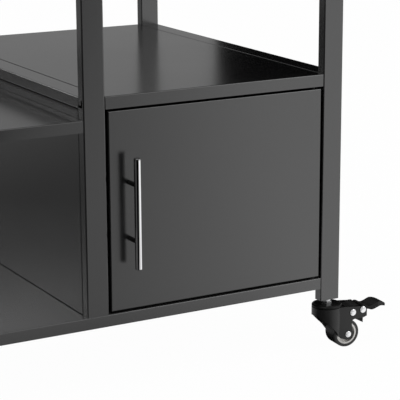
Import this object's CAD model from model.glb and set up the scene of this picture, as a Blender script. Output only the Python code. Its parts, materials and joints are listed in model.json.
import json
import math

import bpy
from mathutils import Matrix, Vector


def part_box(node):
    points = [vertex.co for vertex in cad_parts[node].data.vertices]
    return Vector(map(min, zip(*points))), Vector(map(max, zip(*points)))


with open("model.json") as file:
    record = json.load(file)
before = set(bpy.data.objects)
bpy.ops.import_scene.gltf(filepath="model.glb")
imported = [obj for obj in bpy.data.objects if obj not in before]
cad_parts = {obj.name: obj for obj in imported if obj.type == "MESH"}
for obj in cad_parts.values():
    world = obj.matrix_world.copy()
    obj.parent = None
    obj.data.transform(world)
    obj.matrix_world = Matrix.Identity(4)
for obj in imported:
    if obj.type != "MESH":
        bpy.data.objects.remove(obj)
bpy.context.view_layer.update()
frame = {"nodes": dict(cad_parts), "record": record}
nodes = frame["nodes"]
bpy.ops.object.select_all(action="DESELECT")
print("loaded", len(nodes), "nodes")


# shader graphs: a wire stands for a node's output, and sums and products of wires add Math nodes
class Wire:
    def __init__(self, shader, socket):
        self.shader, self.socket = shader, socket

    def __add__(self, other):
        return self.shader.calc("ADD", self, other)

    def __radd__(self, other):
        return self.shader.calc("ADD", other, self)

    def __sub__(self, other):
        return self.shader.calc("SUBTRACT", self, other)

    def __rsub__(self, other):
        return self.shader.calc("SUBTRACT", other, self)

    def __mul__(self, other):
        return self.shader.calc("MULTIPLY", self, other)

    def __rmul__(self, other):
        return self.shader.calc("MULTIPLY", other, self)


class Shader:
    def __init__(self, tree):
        self.tree = tree
        tree.nodes.clear()

    def add(self, kind, settings=None, sockets=None, outputs=(0,)):
        node = self.tree.nodes.new(kind)
        for name, value in (settings or {}).items():
            if name == "stops":
                ramp = node.color_ramp
                while len(ramp.elements) < len(value):
                    ramp.elements.new(0.5)
                for element, (place, level) in zip(ramp.elements, value):
                    element.position = place
                    element.color = (level, level, level, 1)
            else:
                setattr(node, name, value)
        for name, value in (sockets or {}).items():
            if isinstance(value, Wire):
                self.tree.links.new(value.socket, node.inputs[name])
            else:
                node.inputs[name].default_value = value
        if not len(node.outputs):
            return None
        wires = [Wire(self, node.outputs[name]) for name in outputs]
        return wires[0] if len(wires) == 1 else wires

    def calc(self, operation, *values):
        return self.add("ShaderNodeMath", {"operation": operation}, dict(enumerate(values)))

    def place(self, coordinates="Object"):
        return self.add("ShaderNodeTexCoord", None, None, (coordinates,))

    def split(self, vector):
        return self.add("ShaderNodeSeparateXYZ", None, {0: vector}, (0, 1, 2))

    def noise(self, where, scale, detail, roughness):
        return self.add("ShaderNodeTexNoise", None,
                        {"Vector": where, "Scale": scale, "Detail": detail, "Roughness": roughness})

    # a ramp reads 0 to 1, so a number is added first to a value that may be below 0
    def ramp(self, value, *stops):
        return self.add("ShaderNodeValToRGB", {"stops": stops}, {0: value})

    def tint(self, share, low, high):
        ends = {name: colour if isinstance(colour, Wire) else (*colour, 1)
                for name, colour in (("A", low), ("B", high))}
        return self.add("ShaderNodeMix", {"data_type": "RGBA"}, {0: share, **ends}, ("Result",))

    def bump(self, height, strength, depth):
        return self.add("ShaderNodeBump", None, {"Height": height, "Strength": strength, "Distance": depth})

    def surface(self, **sockets):
        named = {name.replace("_", " "): value for name, value in sockets.items()}
        self.finish(self.add("ShaderNodeBsdfPrincipled", None, named))

    def finish(self, surface):
        self.add("ShaderNodeOutputMaterial", None, {0: surface})


def newMaterial(name):
    material = bpy.data.materials.new(name)
    material.use_nodes = True
    return material, Shader(material.node_tree)


# finishes: each noise is given by its scale, detail and roughness, and a surface's roughness goes from
# rough up by roughSpread

# black powder coat on folded sheet and tube
powderCoat = {
    "deep": (0.003, 0.003, 0.0032), "dusty": (0.009, 0.009, 0.0095), "ior": 1.97,
    "clouds": (5.0, 4.0, 0.55), "rough": 0.175, "roughSpread": 0.05,
    "peel": (420.0, 2.0, 0.4), "peelStrength": 0.35, "peelDepth": 0.00003,
    "specks": (1900.0, 1.0, 0.3), "speckStops": ((0.62, 0), (0.74, 1)),
    "speckShare": 0.5, "speckHeight": 0.25,
}
# dust on top of the deck, thicker towards its front
deckDust = {"clean": (0.006, 0.006, 0.006), "dust": (0.075, 0.075, 0.076), "even": 0.8, "clouds": 0.4,
            "forward": ((0.1, 0), (0.29, 1)), "height": ((0.1385, 0), (0.1389, 1))}
# a dull upper edge on the wall between the bay and the cabinet
wallEdge = {"height": ((0.4935, 0), (0.494, 0.75))}


def makePowderCoat(name, v, dust=None, edge=None):
    material, shader = newMaterial(name)
    place = shader.place()
    across, back, up = shader.split(place)
    clouds = shader.noise(place, *v["clouds"])
    peel = shader.noise(place, *v["peel"])
    specks = shader.ramp(shader.noise(place, *v["specks"]), *v["speckStops"])
    rough = clouds * v["roughSpread"] + v["rough"]
    if dust:
        layer = shader.ramp(back * -1, *dust["forward"]) * shader.ramp(up, *dust["height"])
        colour = shader.tint(layer * (clouds * dust["clouds"] + dust["even"]), dust["clean"], dust["dust"])
    else:
        mottle = clouds * (1 - v["speckShare"]) + specks * v["speckShare"]
        colour = shader.tint(mottle, v["deep"], v["dusty"])
    if edge:
        rough = rough + shader.ramp(up, *edge["height"])
    shader.surface(Base_Color=colour, Roughness=rough, IOR=v["ior"],
                   Normal=shader.bump(peel + specks * v["speckHeight"], v["peelStrength"], v["peelDepth"]))
    return material


# plated and bare metals
metals = {
    "chrome": {"low": (0.86, 0.86, 0.87), "high": (0.93, 0.93, 0.93), "rough": 0.03, "roughSpread": 0.04,
               "grain": (160.0, 3.0, 0.6)},
    "zincPlate": {"low": (0.84, 0.85, 0.87), "high": (0.95, 0.95, 0.95), "rough": 0.16, "roughSpread": 0.12,
                  "grain": (620.0, 3.0, 0.6)},
    "nickel": {"low": (0.55, 0.54, 0.52), "high": (0.68, 0.66, 0.63), "rough": 0.19, "roughSpread": 0.1,
               "grain": (500.0, 3.0, 0.6)},
}
metalDetail = {"stains": (40.0, 3.0, 0.5), "stainShare": 0.6, "strength": 0.08, "depth": 0.00003}
# a dark plug in the handle bar's upper end
barPlug = {"colour": (0.03, 0.03, 0.03), "height": ((0.4129, 0), (0.4132, 1))}


def makeMetal(name, v, plug=None):
    material, shader = newMaterial(name)
    place = shader.place()
    stains = shader.noise(place, *metalDetail["stains"])
    grain = shader.noise(place, *v["grain"])
    mottle = stains * metalDetail["stainShare"] + grain * (1 - metalDetail["stainShare"])
    colour = shader.tint(mottle, v["low"], v["high"])
    if plug:
        across, back, up = shader.split(place)
        colour = shader.tint(shader.ramp(up, *plug["height"]), colour, plug["colour"])
    shader.surface(Base_Color=colour, Metallic=1.0, Roughness=grain * v["roughSpread"] + v["rough"],
                   Normal=shader.bump(grain, metalDetail["strength"], metalDetail["depth"]))
    return material


# black finishes of the casters, screws and plugs
blacks = {
    "blackSteel": {"low": (0.003, 0.003, 0.003), "high": (0.008, 0.008, 0.008), "rough": 0.28, "ior": 1.46,
                   "grain": (300.0, 2.0, 0.5), "depth": 0.00008},
    "blackNylon": {"low": (0.003, 0.003, 0.003), "high": (0.007, 0.007, 0.007), "rough": 0.44, "ior": 1.32,
                   "grain": (900.0, 2.0, 0.5), "depth": 0.0001},
    "capBlack": {"low": (0.002, 0.002, 0.002), "high": (0.005, 0.005, 0.005), "rough": 0.34, "ior": 1.28,
                 "grain": (300.0, 2.0, 0.5), "depth": 0.00006},
    "blackScrew": {"low": (0.010, 0.010, 0.011), "high": (0.030, 0.029, 0.028), "rough": 0.3, "ior": 1.9,
                   "grain": (700.0, 2.0, 0.5), "depth": 0.00005},
}
blackDetail = {"clouds": (30.0, 3.0, 0.5), "roughSpread": 0.12, "strength": 0.3}


def makeBlack(name, v):
    material, shader = newMaterial(name)
    place = shader.place()
    clouds = shader.noise(place, *blackDetail["clouds"])
    grain = shader.noise(place, *v["grain"])
    shader.surface(Base_Color=shader.tint(clouds, v["low"], v["high"]), IOR=v["ior"],
                   Roughness=grain * blackDetail["roughSpread"] + v["rough"],
                   Normal=shader.bump(grain, blackDetail["strength"], v["depth"]))
    return material


# wheels: turned rings round the axle on the rim, moulded lines round the tread
casterTurn = 4.0  # degrees that each caster is turned about its stem at rest
rimSteel = {"low": (0.42, 0.41, 0.40), "high": (0.66, 0.65, 0.63), "rough": 0.2, "roughSpread": 0.14,
            "grain": (240.0, 3.0, 0.5), "rings": 9000.0, "strength": 0.12, "depth": 0.00004}
treadRubber = {"low": (0.007, 0.007, 0.007), "high": (0.019, 0.018, 0.018), "rough": 0.38,
               "roughSpread": 0.15, "ior": 1.55, "grain": (700.0, 3.0, 0.5), "grainHeight": 0.3,
               "lines": 2600.0, "lineHeight": 0.2, "mouldLine": ((0.25, 1), (0.55, 0)), "strength": 0.3,
               "depth": 0.0002}


# distance from the axle, and the place along it
def axlePlace(shader, place, node):
    low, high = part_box(node)
    centre = (low + high) / 2
    side = 1 if centre.x > 0 else -1
    moved = shader.add("ShaderNodeVectorMath", {"operation": "SUBTRACT"}, {0: place, 1: tuple(centre)})
    turned = shader.add("ShaderNodeVectorRotate", {"rotation_type": "Z_AXIS"},
                        {"Vector": moved, "Angle": math.radians(casterTurn) * side})
    across, along, up = shader.split(turned)
    return shader.calc("SQRT", across * across + up * up), along


def makeRim(node, v):
    material, shader = newMaterial("rimSteel_" + node[-2:])
    place = shader.place()
    radius, along = axlePlace(shader, place, node)
    rings = shader.calc("SINE", radius * v["rings"])
    grain = shader.noise(place, *v["grain"])
    shader.surface(Base_Color=shader.tint(grain, v["low"], v["high"]), Metallic=1.0,
                   Roughness=grain * v["roughSpread"] + v["rough"],
                   Normal=shader.bump(rings, v["strength"], v["depth"]))
    return material


def makeTread(node, v):
    material, shader = newMaterial("tread_" + node[-2:])
    place = shader.place()
    radius, along = axlePlace(shader, place, node)
    lines = shader.calc("SINE", along * v["lines"])
    mould = shader.ramp(shader.calc("ABSOLUTE", along) * 1000.0, *v["mouldLine"])  # in millimetres
    grain = shader.noise(place, *v["grain"])
    height = lines * v["lineHeight"] + mould + grain * v["grainHeight"]
    shader.surface(Base_Color=shader.tint(grain, v["low"], v["high"]), IOR=v["ior"],
                   Roughness=grain * v["roughSpread"] + v["rough"],
                   Normal=shader.bump(height, v["strength"], v["depth"]))
    return material


def giveFinish(node, material):
    slots = nodes[node].material_slots
    for slot in slots:
        slot.material = material
    if not slots:
        nodes[node].data.materials.append(material)


slotFinish = {
    "powder_coat": makePowderCoat("powderCoat", powderCoat),
    "chrome": makeMetal("chrome", metals["chrome"]),
    "zinc_steel": makeMetal("zincPlate", metals["zincPlate"]),
    "magnet": makeMetal("nickel", metals["nickel"]),
    "black_steel": makeBlack("blackSteel", blacks["blackSteel"]),
    "black_plastic": makeBlack("blackNylon", blacks["blackNylon"]),
    "black_screw": makeBlack("blackScrew", blacks["blackScrew"]),
}
capFinish = makeBlack("capBlack", blacks["capBlack"])
ownFinish = {
    "cabinet_left_wall": makePowderCoat("wallCoat", powderCoat, edge=wallEdge),
    "deck_pan": makePowderCoat("deckCoat", powderCoat, dust=deckDust),
    "handle_bar": makeMetal("barChrome", metals["chrome"], plug=barPlug),
    "handle_standoffs": capFinish, "caster_caps": capFinish,
    "brake_shoe_fl": capFinish, "brake_shoe_fr": capFinish,
}
for part in frame["record"]["subparts"]:
    node, slotName = part["node"], part["material_slot"]
    if slotName == "rim_steel":
        giveFinish(node, makeRim(node, rimSteel))
    elif slotName == "tread":
        giveFinish(node, makeTread(node, treadRubber))
    else:
        giveFinish(node, ownFinish.get(node) or slotFinish[slotName])
print("finishes given")


# studio: camera, soft lamps, a pale floor and a white background
cameraView = {"place": (-1.16077, -2.79728, 1.02114), "yaw": 30.28, "pitch": 15.01, "lens": 149.5,
              "sensor": 36.0, "shift": (-0.0827, 0.0657), "reach": 100.0}
lamps = {
    "sideLamp": {"place": (3.4, -2.8, 2.8), "target": (0.3, -0.3, 0.4), "size": (3.0, 3.0), "power": 45.0},
    "backLamp": {"place": (-2.6, 5.5, 2.95), "target": (0.0, 0.1, 0.3), "size": (2.0, 1.2), "power": 27.0},
    "topLamp": {"place": (-0.6, -0.4, 4.2), "target": (0.0, 0.0, 0.4), "size": (3.6, 3.6), "power": 60.0},
}


def addCamera(v):
    data = bpy.data.cameras.new("camera")
    data.sensor_width = v["sensor"]
    data.lens = v["lens"]
    data.clip_end = v["reach"]
    data.shift_x, data.shift_y = v["shift"]
    camera = bpy.data.objects.new("camera", data)
    bpy.context.scene.collection.objects.link(camera)
    camera.location = v["place"]
    camera.rotation_euler = (math.radians(90 - v["pitch"]), 0, math.radians(-v["yaw"]))
    bpy.context.scene.camera = camera


def addLamp(name, v):
    data = bpy.data.lights.new(name, "AREA")
    data.shape = "RECTANGLE"
    data.energy = v["power"]
    data.size, data.size_y = v["size"]
    lamp = bpy.data.objects.new(name, data)
    bpy.context.scene.collection.objects.link(lamp)
    lamp.location = v["place"]
    lamp.visible_camera = False
    east, north, up = (b - a for a, b in zip(v["place"], v["target"]))
    tilt = math.atan2(math.hypot(east, north), -up)
    lamp.rotation_euler = (tilt, 0, math.atan2(north, east) - math.pi / 2)


# what glossy surfaces see round the compass, from the front (0) by the left, the back (0.5) and the right,
# and the level of the light that other surfaces get from all round
surround = {
    "fill": 0.55,
    "glossy": ((0.0, 0.6), (0.25, 0.4), (0.34, 0.14), (0.412, 0.14), (0.43, 0.42), (0.53, 0.35),
               (0.6, 0.38), (0.66, 0.4), (0.78, 0.7), (1.0, 0.6)),
}


def makeWorld(v):
    world = bpy.data.worlds.new("studio")
    bpy.context.scene.world = world
    world.use_nodes = True
    shader = Shader(world.node_tree)
    camera, glossy, through = shader.add("ShaderNodeLightPath", None, None,
                                         ("Is Camera Ray", "Is Glossy Ray", "Is Transmission Ray"))
    east, north, up = shader.split(shader.place("Generated"))
    compass = shader.calc("ARCTAN2", east, north) * (0.5 / math.pi) + 0.5
    seen = shader.calc("MAXIMUM", camera, through)
    level = seen + (1 - seen) * v["fill"]
    level = level * (1 - glossy) + glossy * shader.ramp(compass, *v["glossy"])
    back = shader.add("ShaderNodeBackground", None, {"Color": (1, 1, 1, 1), "Strength": level})
    shader.add("ShaderNodeOutputWorld", None, {0: back})


# the floor is near white to the camera, with the cart's shadow; glossy surfaces see zones on it, parted by
# the line of the cart's front, and the zones in front of that line slope
paleFloor = {
    "size": 60.0, "colour": (0.8, 0.8, 0.8, 1), "whiten": 0.98,
    "frontLine": -0.3543, "west": -1.96, "east": 0.64,
    "front": ((0.23, 0.0), (0.57, 0.0), (0.61, 0.6), (0.746, 0.54), (0.94, 1.0)), "frontSlope": 0.53,
    "near": ((0.7, 0), (0.78, 1)), "nearEast": ((0.44, 1), (0.54, 0)), "nearDark": 0.9,
    "strip": ((0.42, 0), (0.44, 0.065)), "stripSlope": 0.65,
    "back": ((0.18, 0.0), (0.19, 0.2), (0.4, 0.2), (0.48, 0.12), (0.515, 0.12), (0.64, 0.18),
             (0.715, 0.2), (0.81, 0.3)), "backScale": 0.25,
    "right": ((0.6, 0.0), (0.95, 1.0)), "rightGain": 2,
    "left": ((0.3, 1), (0.35, 0)), "leftNorth": ((0.2, 1), (0.25, 0)),
}


def floorZones(shader, v):
    east, north, up = shader.split(shader.place())
    ahead = north - v["frontLine"]
    scale = 1 / (v["east"] - v["west"])
    front = shader.ramp((east + ahead * v["frontSlope"] - v["west"]) * scale, *v["front"])
    near = shader.ramp(ahead + 1, *v["near"]) * shader.ramp(east, *v["nearEast"])
    strip = shader.ramp(ahead - east * v["stripSlope"] + 0.5, *v["strip"])
    front = shader.calc("MAXIMUM", front * (1 - near * v["nearDark"]), strip)
    right = shader.ramp((east - v["west"]) * scale, *v["right"])
    left = shader.ramp(east + 1, *v["left"]) * shader.ramp(north, *v["leftNorth"])
    back = shader.ramp((north + 1) * v["backScale"], *v["back"]) * (1 + right * v["rightGain"]) * (1 - left)
    behind = shader.calc("GREATER_THAN", ahead, 0.0)
    return front * (1 - behind) + back * behind


def makeFloor(v):
    material, shader = newMaterial("floor")
    camera, glossy = shader.add("ShaderNodeLightPath", None, None, ("Is Camera Ray", "Is Glossy Ray"))
    lit = shader.add("ShaderNodeBsdfDiffuse", None, {"Color": v["colour"]})
    strength = glossy * floorZones(shader, v) + (1 - glossy)
    bright = shader.add("ShaderNodeEmission", None, {"Strength": strength})
    share = camera * v["whiten"] + glossy
    shader.finish(shader.add("ShaderNodeMixShader", None, {0: share, 1: lit, 2: bright}))
    bpy.ops.mesh.primitive_plane_add(size=v["size"])
    floor = bpy.context.object
    floor.name = "floor"
    floor.data.materials.append(material)
    floor.select_set(False)


# black cards behind on the right and on the left, which only glossy surfaces see
darkCards = {
    "rightCard": {"left": 1.0436, "right": 2.6, "north": 1.0688, "low": 0.0, "high": 2.4},
    "backCard": {"left": -2.4, "right": -0.9, "north": 3.0, "low": 0.8, "high": 1.1},
}


def addDarkCard(name, v):
    material, shader = newMaterial(name)
    shader.finish(shader.add("ShaderNodeEmission", None, {"Strength": 0.0}))
    middle = ((v["left"] + v["right"]) / 2, v["north"], (v["low"] + v["high"]) / 2)
    bpy.ops.mesh.primitive_plane_add(size=1, rotation=(math.radians(90), 0, 0), location=middle)
    card = bpy.context.object
    card.name = name
    card.scale = (v["right"] - v["left"], v["high"] - v["low"], 1)
    card.visible_camera = False
    card.visible_diffuse = False
    card.visible_shadow = False
    card.data.materials.append(material)
    card.select_set(False)


addCamera(cameraView)
for name, values in lamps.items():
    addLamp(name, values)
makeWorld(surround)
makeFloor(paleFloor)
for name, values in darkCards.items():
    addDarkCard(name, values)
bpy.context.scene.view_settings.view_transform = "Standard"
print("studio ready")
